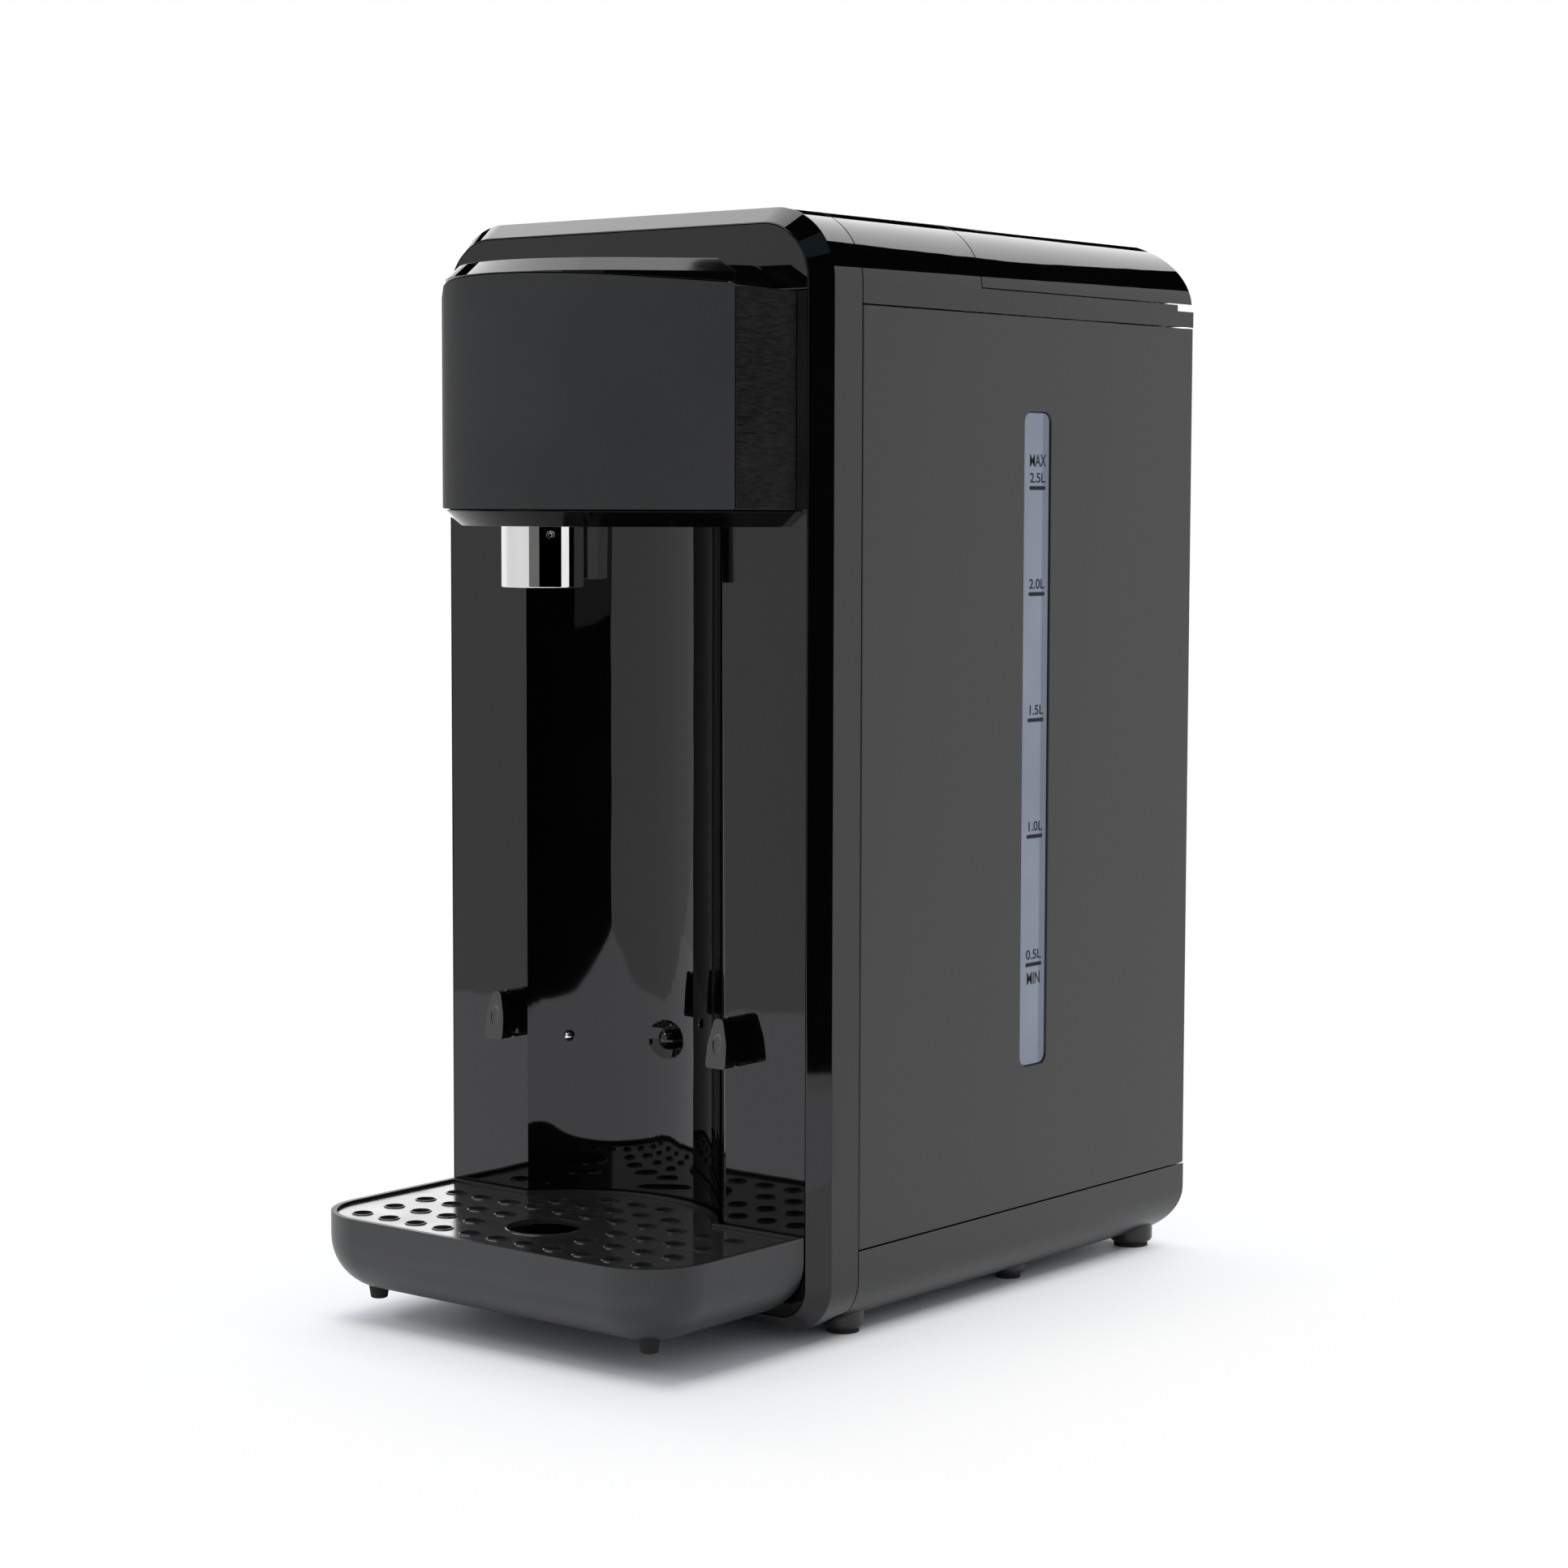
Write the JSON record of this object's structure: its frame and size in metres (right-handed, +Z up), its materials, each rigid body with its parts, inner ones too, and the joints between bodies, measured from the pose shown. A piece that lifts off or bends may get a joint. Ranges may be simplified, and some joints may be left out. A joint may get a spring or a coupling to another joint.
{
  "type": "countertop water dispenser",
  "caption": "Countertop water dispenser with a rear tank under a hinged lid, a pump and heater, a cantilevered spout head and a drip tray with a lift-off grille.",
  "frame": {"origin": "centre of the footprint's bounding box, on the surface that the dispenser stands on", "axes": "+X to the right seen from the front, -Y out of the front towards the user, +Z up"},
  "size_m": [0.1396, 0.2432, 0.306],
  "materials": {
    "shell_satin": "satin, fine grain",
    "shell_gloss": "high gloss",
    "head_wrap": "satin",
    "head_side": "dark brushed",
    "tray_satin": "satin",
    "grille_steel": "dark brushed",
    "chrome_bright": "polished",
    "window_clear": "clear plastic",
    "tank_clear": "translucent",
    "rubber_black": "matt",
    "frame_grey": "moulded",
    "pump_black": "satin",
    "heater_steel": "satin",
    "silicone_white": "soft",
    "board_green": "lacquered",
    "component_dark": "moulded",
    "contact_brass": "plated",
    "screw_steel": "zinc plated",
    "strainer_white": "moulded"
  },
  "bodies": {
    "housing": {"front_frame": "shell_gloss", "front_panel": "shell_gloss", "side_panel_right": "shell_satin", "side_panel_left": "shell_satin", "rear_panel": "shell_satin", "base_shell": "shell_satin", "foot_pads": "rubber_black", "base_screws": "screw_steel", "top_collar": "shell_gloss", "level_window": "window_clear", "water_tank": "tank_clear", "tank_strainer": "strainer_white", "lid_hinge_pins": "screw_steel", "chassis": "frame_grey", "pump": "pump_black", "pump_saddles": "rubber_black", "suction_hose": "silicone_white", "delivery_hose": "silicone_white", "heater": "heater_steel", "heater_clamps": "frame_grey", "thermal_cutout": "component_dark", "spout_pipe": "silicone_white", "power_board": "board_green", "board_standoffs": "frame_grey", "board_components": "component_dark", "control_panel": "shell_gloss", "control_board": "board_green", "control_switches": "component_dark", "head_body": "head_side", "head_front_plate": "head_wrap", "head_top_cap": "shell_gloss", "head_bottom_cap": "shell_gloss", "head_screws": "screw_steel", "spout": "chrome_bright", "spout_grub_screw": "chrome_bright", "spout_outlet_disc": "strainer_white", "wall_pegs": "shell_gloss", "wall_studs": "chrome_bright", "cup_sensor": "shell_gloss", "power_inlet": "component_dark", "inlet_pins": "contact_brass", "switch_housing": "component_dark"},
    "lid": {"tank_lid": "shell_gloss"},
    "tray": {"drip_tray": "tray_satin", "tray_feet": "rubber_black"},
    "grille": {"drip_grille": "grille_steel"},
    "left_button": {"button_left": "shell_gloss"},
    "middle_button": {"button_middle": "shell_gloss"},
    "right_button": {"button_right": "shell_gloss"},
    "rocker": {"power_rocker": "shell_gloss"}
  },
  "joints": [
    {"name": "lid_hinge", "type": "hinge", "parent": "housing", "child": "lid", "pos_m": [0, 0.11775, 0.289], "axis": [-1, 0, 0], "range_deg": [0, 95]},
    {"name": "tray_slide", "type": "slide", "parent": "housing", "child": "tray", "axis": [0, -1, 0], "range_m": [0, 0.02]},
    {"name": "grille_lift", "type": "slide", "parent": "tray", "child": "grille", "axis": [0, 0, 1], "range_m": [0, 0.03]},
    {"name": "left_button_press", "type": "slide", "parent": "housing", "child": "left_button", "axis": [0, 0, -1], "range_m": [0, 0.0012], "stiffness_N_per_m": 400, "springref_m": -0.0003},
    {"name": "middle_button_press", "type": "slide", "parent": "housing", "child": "middle_button", "axis": [0, 0, -1], "range_m": [0, 0.0012], "stiffness_N_per_m": 400, "springref_m": -0.0003},
    {"name": "right_button_press", "type": "slide", "parent": "housing", "child": "right_button", "axis": [0, 0, -1], "range_m": [0, 0.0012], "stiffness_N_per_m": 400, "springref_m": -0.0003},
    {"name": "rocker_tilt", "type": "hinge", "parent": "housing", "child": "rocker", "pos_m": [-0.036, 0.11951, 0.0405], "axis": [-1, 0, 0], "range_deg": [0, 16]}
  ]
}
